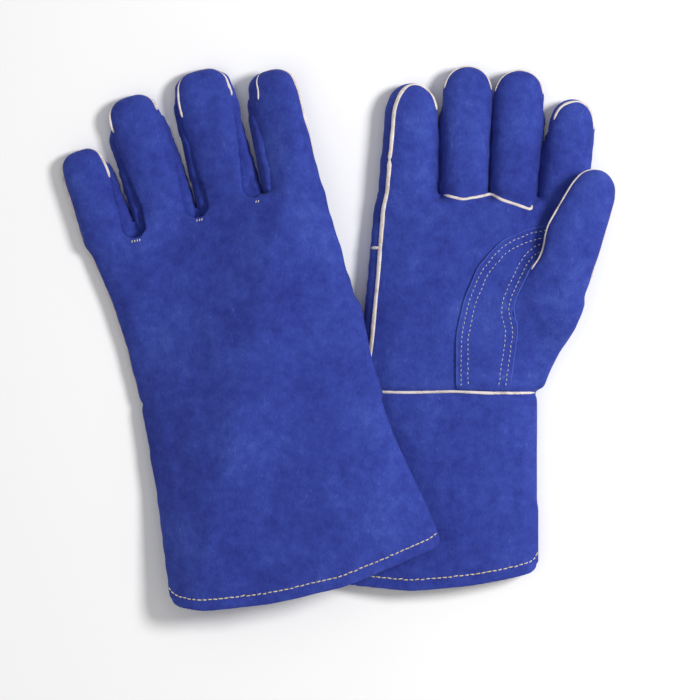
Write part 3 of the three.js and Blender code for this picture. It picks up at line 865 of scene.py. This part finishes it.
def add_backing(glove):
    """The leather where a digit lies against its neighbours or the palm, which shows once a joint bends."""
    for number, name in enumerate(("hand",) + DIGITS):
        digit = glove.digits.get(name)
        own = glove.parts[number]
        if digit is None:
            own, others = glove.palm_field, glove.parts[-1]
        elif digit.thumb:
            others = glove.palm_field
        else:
            others = np.maximum.reduce(glove.parts[1:number] + glove.parts[number + 1:])
        points, quads = surface(glove, own - SWELL - 0.08)
        points = smoothed(points, quads, 2)
        centres = points[quads].mean(axis=1)
        cell = glove.cell_of(centres)
        hidden = others[cell] > SWELL - (0.30 if name in ("hand", "thumb") else 0.18)
        if digit is not None:
            hidden &= digit.place(centres)[:, 0] > -digit.bend
        else:
            for finger, field in zip(glove.fingers, glove.parts[1:]):
                turning = finger.place(centres)[:, 0] > -finger.bend
                hidden &= ~(turning & (field[cell] > glove.parts[0][cell]))
        if hidden.sum() < 12:
            continue
        points = rumpled(glove, points, normals_of(points, quads))
        normals = normals_of(points, quads)
        make(glove, f"{glove.side}_{name}_backing", (points, quads[hidden]), SUEDE["fork"], digit, normals)


def wall_field(glove, digit, other, line, box, own, far):
    """The strip of a gap's side wall that belongs to one of its fingers, own and far being the distances
    from the cells in box to that finger and to the other one."""
    up = not glove.palm_up
    cells = glove.cells.reshape(-1, 2)[box]
    seam = glove.seam_height.reshape(-1)[box]
    along = digit.place(cells)[:, 0] / digit.length
    above = np.clip((cells[:, 1] - line[1][1]) / 60, 0, 1)
    slit = 0.2 + 3.2 * above ** 1.2 if up else -0.6
    part = {("middle", "index"): 0.36, ("index", "middle"): 0.64}.get((digit.name, other.name), 0.5)
    width = np.maximum(np.maximum(own + far, 0.6) * part - slit, 0.0)
    run = np.clip(along / 0.62 if up else (along - 0.1) / 0.4, 0, 1)
    width = np.minimum(width, (11.0 if up else 4.0) * (1 - run))
    inside = (own <= width) & (width > 0.5)
    rise = np.clip(own / np.maximum(width, 0.5), 0, 1)
    height = (0.42 if up else 0.25) * (digit.high - digit.seam)
    crown = seam + height * (1 - rise ** 2.2) - 2.0 * rise ** 2 - 3.0 * run
    crown += 0.5 * plan_noise(cells, 9.0, 61) + 1.8 * (1 - above) ** 6 * plan_noise(cells, 3.8, 62) * up
    top = np.full(glove.count[0] * glove.count[1], np.nan)
    low = top.copy()
    top[box] = np.where(inside, crown, np.nan)
    low[box] = np.where(inside, seam - (7.0 if up else 5.0), np.nan)
    return blur(glove.solid(top.reshape(glove.count[:2]), low.reshape(glove.count[:2])), 1.2) - 0.45


def add_walls(glove):
    """The side walls between the fingers: two soft strips in each gap that meet at its bottom."""
    fields = dict(zip(FINGERS, glove.parts[1:]))
    walls = sorted(glove.walls, key=lambda node: glove.plan(vertices(node))[:, 0].mean())
    cells = glove.cells.reshape(-1, 2)
    for (a, b, line), node in zip(glove.slots(), walls):
        path = resampled(line, 1.0)
        box = np.where((distance(cells, path) < 16) & (cells[:, 1] > line[0][1] - 8))[0]
        gaps = []
        for digit in (a, b):
            outline = glove.cells[(fields[digit.name] > SWELL).any(axis=2)]
            gaps.append(distance(cells[box], outline[distance(outline, path) < 20]))
        for digit, other, own, far in ((a, b, *gaps), (b, a, *gaps[::-1])):
            field = wall_field(glove, digit, other, line, box, own, far)
            if field.max() <= 0:
                continue
            points, quads = surface(glove, field)
            points = smoothed(points, quads, 6)
            normals = normals_of(points, quads)
            make(glove, f"{node}_{digit.name}_side", (points, quads), SUEDE["fork"], digit, normals, node)


# ---- Welts and stitches ----

def cast(tree, origin, direction):
    """Where a ray meets a surface, and the surface's normal there, turned to face the ray."""
    spot, up = tree.ray_cast(Vector(origin), Vector(direction))[:2]
    if spot is None:
        return None, None
    spot, up = np.array(spot), np.array(up)
    return spot, up if up @ direction < 0 else -up


def laid(tree, x, above):
    """A plan point laid on a surface from above or below."""
    return cast(tree, (x[0], x[1], 200 if above else -100), (0, 0, -1 if above else 1))


def dropped(tree, path, above):
    """A plan path laid on a surface from above or below: points and normals."""
    hits = [laid(tree, x, above) for x in path]
    hits = [hit for hit in hits if hit[0] is not None]
    return np.array([spot for spot, _ in hits]), np.array([up for _, up in hits])


def set_in(tree, at, aim, inset, above):
    """A point of the outline moved in, and laid on the surface again."""
    return laid(tree, at[:2] - inset * np.asarray(aim)[:2], above)


def add_welt(glove, name, path, width, height, seed, digit=None, size=1.0, lift=0.1, replaces=None):
    """A welt along a path of points and normals, a little above the leather."""
    spots, ups = path[:, :3], path[:, 3:]
    shape = strip(spots + lift * ups, ups, width, height, seed, size)
    make(glove, f"{glove.side}_{name}", shape, WELT, digit, replaces=replaces)


def middle_line(glove, node, spacing=2.0):
    """The line a welt follows across the hand, as v over u."""
    corners = glove.corners([node])
    spots = corners.reshape(-1, 3)
    path = []
    for u in np.arange(spots[:, 0].min() + 0.5, spots[:, 0].max(), spacing):
        low, high = np.inf, -np.inf
        for a, b, c in corners:
            for p, q in ((a, b), (b, c), (c, a)):
                if (p[0] - u) * (q[0] - u) < 0:
                    v = p[1] + (q[1] - p[1]) * (u - p[0]) / (q[0] - p[0])
                    low, high = min(low, v), max(high, v)
        if high > -np.inf:
            path.append((u, (low + high) / 2))
    return np.array(path)


def front_edge(glove):
    """The seam under the two set-in finger fronts, just below their lower edges, hooked at its inner end."""
    covered = np.isfinite(glove.heights([f"{glove.side}_ring_front", f"{glove.side}_middle_front"])[0])
    columns = np.where(covered.any(axis=1))[0]
    crease = glove.u[columns] - glove.forks[1, 0]
    first = glove.v[covered[columns].argmax(axis=1)] - 4.4 + 1.9 * np.exp(-((crease / 3.5) ** 2))
    line = np.stack([glove.u[columns], first], axis=1)
    line = eased(line[first < np.median(first) + 14], 2)
    toward = int(np.sign(glove.digits["thumb"].hinge[0] - line[:, 0].mean()))
    line = line[::toward][:-int(4 / CELL)]
    hook = [line[-1] + (0.7 * toward, rise) for rise in (1.2, 3.0)]
    return np.vstack([line, hook])[::toward]


def add_palm_welts(glove, whole):
    """The wrist and finger base welts cross the palm side."""
    wrist = resampled(middle_line(glove, f"{glove.side}_wrist_welt"), 1.2)
    wrist[:, 1] += 0.9 * plan_noise(wrist, 30, 31)
    fronts = resampled(front_edge(glove), 1.2)
    for name, line, rounds, seed in (("wrist_welt", wrist, 6, 30), ("finger_base_welt", fronts, 2, 31)):
        spots, ups = dropped(whole, line, glove.palm_up)
        path = np.hstack([eased(spots, rounds), ups])
        add_welt(glove, f"{name}_strip", path, 2.0, 1.6, seed, replaces=f"{glove.side}_{name}")


def add_side_welts(glove, whole):
    """The side welt runs up the little finger's side, on the right glove rolled towards the palm. The left
    glove's index finger has one below its joint too."""
    side, out = glove.side, glove.outside
    little, index = glove.digits["little"], glove.digits["index"]
    wrist = glove.node("wrist_welt")[:, 1].mean()
    start = max(glove.node("side_welt")[:, 1].min(), wrist)
    end = little.hinge[1] - little.bend + 2
    path = []
    for v in np.arange(start, end, 1.5):
        at, up = cast(whole, (out * 400, v, little.seam), (-out, 0, 0))
        if at is not None and glove.palm_up:
            at, up = set_in(whole, at, (out, 0), 6.0 + 1.4 * np.clip((end - v) / (end - wrist), 0, 1), True)
        if at is not None:
            path.append((*at, *up))
    width = 3.0 if glove.palm_up else 1.6
    add_welt(glove, "side_welt_strip", eased(path, 8), width, 1.5, 40, replaces=f"{side}_side_welt")
    if glove.palm_up:
        return
    levels = np.arange(index.hinge[1] - 27, index.hinge[1] - index.bend + 2, 1.5)
    hits = [cast(whole, (-out * 400, v, index.seam + OUTER_LIFT), (out, 0, 0)) for v in levels]
    path = [(*at, *up) for at, up in hits if at is not None]
    add_welt(glove, "index_side_welt", eased(path, 4), 1.9, 2.6, 45, lift=0.0)


def welt_inset(glove, digit, aim, share):
    """How far in from the outline a digit's welt lies, towards aim, which points across at share 1."""
    if digit.thumb or not glove.palm_up:
        return 0.0
    little_side = aim[0] * glove.outside > 0
    if digit.name == "little":
        return 6.0 * share if little_side else 0.6
    if digit.name == "index":
        return 2.4 if little_side else 0.9
    return 0.7


def welt_run(glove, digit, sign, reach):
    """Where the welt on one side of a digit starts, and how far above the seam's level it lies."""
    toward = sign * digit.across[0]  # above 0 on the side with the higher u
    if digit.thumb:
        return (-digit.bend - 6, 2.0) if toward * digit.hinge[0] < 0 else (-digit.bend, -3.0)
    outer = digit is glove.across[0 if toward < 0 else -1]
    if glove.palm_up:
        if digit.name == "little" and outer:
            return -digit.bend, 0.0
        return (reach * 0.75 if outer else reach * 0.9), 2.0
    if outer:
        return -digit.bend, (OUTER_LIFT if digit.name == "index" else 0.5)
    shares = {("little", True): 0.2, ("middle", False): 0.35, ("ring", True): 0.8}
    return digit.length * shares.get((digit.name, toward > 0), 0.5), 0.48 * (digit.high - digit.seam)


def tip_path(glove, whole, digit):
    """A digit's welt: up one side, round the end and down the other, as points and normals."""
    reach = digit.length - digit.half * 0.8
    cap = 1.5 if glove.palm_up else -3.0
    path = []
    for sign in (-1, 1):
        begin, lift = welt_run(glove, digit, sign, reach)
        rays = [(s, (0, sign)) for s in np.arange(begin, reach, 1.5)]
        rays += [(reach, (math.sin(a), sign * math.cos(a))) for a in np.linspace(0, math.pi / 2, 16)[:-1]]
        for s, (ds, dt) in rays[::-sign]:
            origin = digit.spot(s, 0)
            aim = ds * digit.along + dt * digit.across
            share = abs(dt)
            at, up = cast(whole, (*origin, digit.seam + lift * share + cap * (1 - share)), (*aim, 0))
            if at is None or np.linalg.norm(at[:2] - origin) > digit.half * 1.6:
                continue
            inset = welt_inset(glove, digit, aim, share)
            if inset > 0:
                at, up = set_in(whole, at, aim, inset, glove.palm_up)
            elif up[:2] @ aim < 0:
                up = -up
            if at is not None:
                path.append((*at, *up))
    return resampled(eased(path, 10), 1.2)


def add_tip_welts(glove, whole):
    """The welts round the fingertips and thumbs."""
    for number, (name, digit) in enumerate(glove.digits.items()):
        path = tip_path(glove, whole, digit)
        width, height, size = 1.9, 1.6, 1.0
        if glove.palm_up and not digit.thumb:
            width = {"little": 2.8, "index": 2.2}.get(name, 1.4)
        elif not digit.thumb:
            side_on = abs(path[:, 3:5] @ digit.across)
            height, size = 2.8, 0.55 + 0.45 * eased_step((side_on - 0.5) / 0.4)
        node = f"{name}_tip_welt"
        add_welt(glove, f"{node}_strip", path, width, height, 50 + number, digit, size,
                 replaces=f"{glove.side}_{node}")


def add_slot_stitches(glove, whole):
    """A few short stitches hold the back's leather under each gap between two fingers."""
    rows = []
    for number, (_, _, line) in enumerate(glove.slots()):
        u, v = line[0]
        for lane in (-3.0, -1.2, 0.6, 2.2)[number:]:
            tack = [(u + lane, v - 10.9), (u + lane + 0.5, v - 9.0)]
            spots, ups = dropped(whole, resampled(tack, 0.6), not glove.palm_up)
            if len(spots) > 2:
                rows.append(stitches(spots + 0.15 * ups, ups, 1.7, 0.1, 0.32, 200 + number))
    make(glove, f"{glove.side}_slot_stitches", merged(rows), THREAD)


def add_cross_welt(glove, whole):
    """A short welt crosses the strip of leather beside the palm, a little above half way to the fingers."""
    little = glove.digits["little"]
    wrist = glove.node("wrist_welt")[:, 1].mean()
    v = wrist + 0.575 * (little.hinge[1] - wrist)
    out = glove.outside
    edge = cast(whole, (out * 400, v, little.seam), (-out, 0, 0))[0]
    hits = [set_in(whole, edge, (out, 0), inset + 0.4, glove.palm_up) for inset in np.arange(6.0, -0.1, -0.8)]
    path = eased([(*at, *up) for at, up in hits if at is not None], 3)
    add_welt(glove, "cross_welt", resampled(path, 0.9), 1.9, 1.6, 70, lift=0.15)


def contour(field, level, glove):
    """The closed lines along which a plan grid passes a level."""
    inside = field > level
    segments = {}
    mixed_cells = (inside[:-1, :-1] ^ inside[1:, 1:]) | (inside[1:, :-1] ^ inside[:-1, 1:])
    mixed_cells |= inside[:-1, :-1] ^ inside[1:, :-1]
    for i, j in zip(*np.where(mixed_cells)):
        corners = [(i, j), (i + 1, j), (i + 1, j + 1), (i, j + 1)]
        sides = zip(corners, corners[1:] + corners[:1])
        cuts = [(min(a, b), max(a, b)) for a, b in sides if inside[a] != inside[b]]
        for a, b in zip(cuts[::2], cuts[1::2]):
            segments.setdefault(a, []).append(b)
            segments.setdefault(b, []).append(a)
    loops, seen = [], set()
    for at in segments:
        loop = []
        while at is not None and at not in seen:
            seen.add(at)
            a, b = np.array(at)
            share = (level - field[at[0]]) / (field[at[1]] - field[at[0]])
            loop.append(glove.low[:2] + CELL * (a + share * (b - a)))
            at = next((n for n in segments[at] if n not in seen), None)
        if len(loop) > 20:
            loops.append(np.array(loop + loop[:1]))
    return loops


def strap_mask(glove, node):
    """The thumb crotch patch in the plan, widened, led under the thumb and down to the wrist welt."""
    covered = np.isfinite(glove.heights([node])[0])
    toward = int(np.sign(glove.digits["thumb"].hinge[0]))
    v = glove.v[np.where(covered.any(axis=0))[0]]
    upper = covered & (glove.cells[..., 1] > v[-1] - 20)
    for _ in range(1, int(4 / CELL) + 1):
        covered |= np.roll(covered, toward, axis=0)
    foot = covered & (glove.cells[..., 1] < v[0] + 2.5)
    for k in range(1, int(24 / CELL)):
        covered |= np.roll(upper, (toward * k, int(round(0.2 * k))), axis=(0, 1))
    for k in range(1, int((v[0] - np.median(glove.node("wrist_welt")[:, 1])) / CELL)):
        covered |= np.roll(foot, -k, axis=1)
    return covered


def rows_at(glove, tree, depths, depth, spacing, rounds, start):
    """The lines at one depth in from the patch's long edges, above its foot, laid on it."""
    for loop in contour(depths, depth, glove):
        loop = eased(resampled(loop, spacing), rounds)
        keep = np.concatenate([[False], loop[:, 1] > start, [False]]).astype(int)
        for first, last in zip(np.where(np.diff(keep) == 1)[0], np.where(np.diff(keep) == -1)[0]):
            spots, ups = dropped(tree, loop[first:last], glove.palm_up)
            if len(spots) > 8:
                yield spots, eased(ups, 6)


def add_strap(glove):
    """The thumb crotch patch lies on the palm, with its raised edge and its stitch rows."""
    side = glove.side
    node = f"{side}_thumb_strap"
    shape = plan_blur(strap_mask(glove, node), 1.6)
    palm = glove.palm_field > SWELL
    index = palm.shape[2] - 1 - palm[..., ::-1].argmax(axis=2) if glove.palm_up else palm.argmax(axis=2)
    ground = blur(glove.z[index], 2.0, (0, 1))
    thick = (2.0 - abs(glove.z - ground[..., None])) * 0.4
    field = np.minimum(thick, 1.4 * (shape[..., None] - 0.5))
    field = np.where(palm.any(axis=2)[..., None], field, -1.0)
    points, quads = surface(glove, field)
    points = smoothed(points, quads, 4)
    normals = normals_of(points, quads)
    make(glove, f"{node}_leather", (points, quads), SUEDE["thumb_strap"], None, normals, node)

    tree = BVHTree.FromPolygons(points.tolist(), quads.tolist())
    mask = shape > 0.5
    start = glove.v[np.where(mask.any(axis=0))[0][0]]
    foot = mask & (glove.cells[..., 1] < start + 2.5)
    for k in range(1, int(12 / CELL)):
        mask = mask | np.roll(foot, -k, axis=1)
    rim = glove.cells[(plan_blur(mask, CELL) < 0.7) & mask]
    depths = np.zeros(glove.count[:2])
    depths[mask] = distance(glove.cells[mask], rim)
    depths = blur(depths, 1.2, (0, 1))
    edges = rows_at(glove, tree, depths, 0.7, 1.2, 6, start + 1.5)
    rims = [strip(eased(spots, 3), ups, 1.1, 0.9, 80 + n) for n, (spots, ups) in enumerate(edges)]
    make(glove, f"{side}_strap_edge", merged(rims), SUEDE["strap_edge"])
    rows = [row for depth in (3.3, 7.8) for row in rows_at(glove, tree, depths, depth, 1.5, 8, start + 1.5)]
    rows = [stitches(spots, ups, 2.0, 1.2, 0.26, n + 3) for n, (spots, ups) in enumerate(rows)]
    make(glove, f"{side}_strap_stitches", merged(rows), STRAP_THREAD)


def add_hem_thread(glove, whole):
    """The hem's stitch row runs round the cuff a little above its edge."""
    node = glove.node("hem_thread")
    line = np.stack([glove.u, glove.hem], axis=1)
    line = line[(line[:, 0] > node[:, 0].min() + 1) & (line[:, 0] < node[:, 0].max() - 1)]
    line[:, 1] += np.median(node[:, 1]) - np.median(np.interp(node[:, 0], glove.u, glove.hem))
    rows = []
    for above in (True, False):
        spots, ups = dropped(whole, resampled(line, 1.5), above)
        rows.append(stitches(eased(spots, 3), ups, 3.2, 0.55, 0.36, 90 + above))
    make(glove, f"{glove.side}_hem_stitches", merged(rows), HEM_THREAD, replaces=f"{glove.side}_hem_thread")


for side in ("right", "left"):
    glove = Glove(side)
    whole = add_skin(glove)
    add_lining(glove)
    add_backing(glove)
    add_walls(glove)
    add_palm_welts(glove, whole)
    add_side_welts(glove, whole)
    add_tip_welts(glove, whole)
    add_slot_stitches(glove, whole)
    add_cross_welt(glove, whole)
    add_strap(glove)
    add_hem_thread(glove, whole)


# ---- Stage ----

def add_light(name, place, size, energy):
    """A round lamp that points at the middle of the floor."""
    data = bpy.data.lights.new(name, "AREA")
    data.shape = "DISK"
    data.size = size
    data.energy = energy
    lamp = bpy.data.objects.new(name, data)
    lamp.location = place
    lamp.rotation_euler = (-Vector(place)).to_track_quat("-Z", "Y").to_euler()
    bpy.context.scene.collection.objects.link(lamp)


FLOOR_REACH = 6.0
CAMERA_HEIGHT = 3.02
CAMERA_SHIFT = (0.0077, -0.0084)  # from above the gloves' middle

floor_mesh = bpy.data.meshes.new("floor")
floor_corners = [(x * FLOOR_REACH, y * FLOOR_REACH, 0) for x, y in ((-1, -1), (1, -1), (1, 1), (-1, 1))]
floor_mesh.from_pydata(floor_corners, [], [(0, 1, 2, 3)])
floor = bpy.data.objects.new("floor", floor_mesh)
bpy.context.scene.collection.objects.link(floor)
paper, _, paper_shader, _ = material("floor_paper", 0.9)
paper_shader.inputs["Base Color"].default_value = (0.97, 0.97, 0.97, 1)
paper_shader.inputs["Specular IOR Level"].default_value = 0.1
floor_mesh.materials.append(paper)

add_light("key", (1.15, 0.34, 1.45), 0.50, 27)
add_light("fill", (-0.7, -0.5, 1.8), 1.4, 2.5)
add_light("top", (0.0, 0.1, 2.2), 1.8, 4.0)
world = bpy.data.worlds.new("studio")
world.use_nodes = True
world.node_tree.nodes["Background"].inputs["Color"].default_value = (1, 1, 1, 1)
world.node_tree.nodes["Background"].inputs["Strength"].default_value = 0.36
bpy.context.scene.world = world

middle = (Vector(CAD_BOX[0]) + Vector(CAD_BOX[1])) / 2
camera_data = bpy.data.cameras.new("camera")
camera_data.sensor_width = 36
camera_data.lens = 230
camera = bpy.data.objects.new("camera", camera_data)
camera.location = (middle.x + CAMERA_SHIFT[0], middle.y + CAMERA_SHIFT[1], CAMERA_HEIGHT)
camera.rotation_euler = (0, 0, 0)
bpy.context.scene.collection.objects.link(camera)
bpy.context.scene.camera = camera
